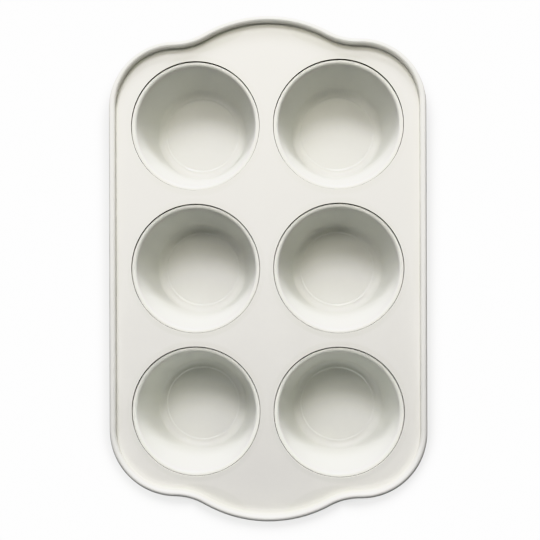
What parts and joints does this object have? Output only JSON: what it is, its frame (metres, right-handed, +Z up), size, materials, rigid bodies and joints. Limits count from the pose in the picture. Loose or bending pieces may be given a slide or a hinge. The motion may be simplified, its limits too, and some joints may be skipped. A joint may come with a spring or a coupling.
{
  "type": "muffin pan",
  "caption": "Rectangular baking pan with rounded corners, a curved grip lobe at each end, a raised wired edge and deep round cups clinched into its deck.",
  "frame": {"origin": "on the ground under the middle of the pan, in the plane of the six cup floors it stands on", "axes": "+X across the pan towards column b, +Y the long way towards row 1, +Z up out of the cups"},
  "size_m": [0.2184, 0.3472, 0.044],
  "materials": {
    "deck_coating": "satin off-white release coating on sheet steel",
    "cup_coating": "satin off-white release coating on sheet steel",
    "bright_wire": "plain drawn wire"
  },
  "bodies": {
    "root": {"deck": "deck_coating", "cup_a1": "cup_coating", "cup_a2": "cup_coating", "cup_a3": "cup_coating", "cup_b1": "cup_coating", "cup_b2": "cup_coating", "cup_b3": "cup_coating", "rim_wire": "bright_wire"}
  },
  "joints": []
}
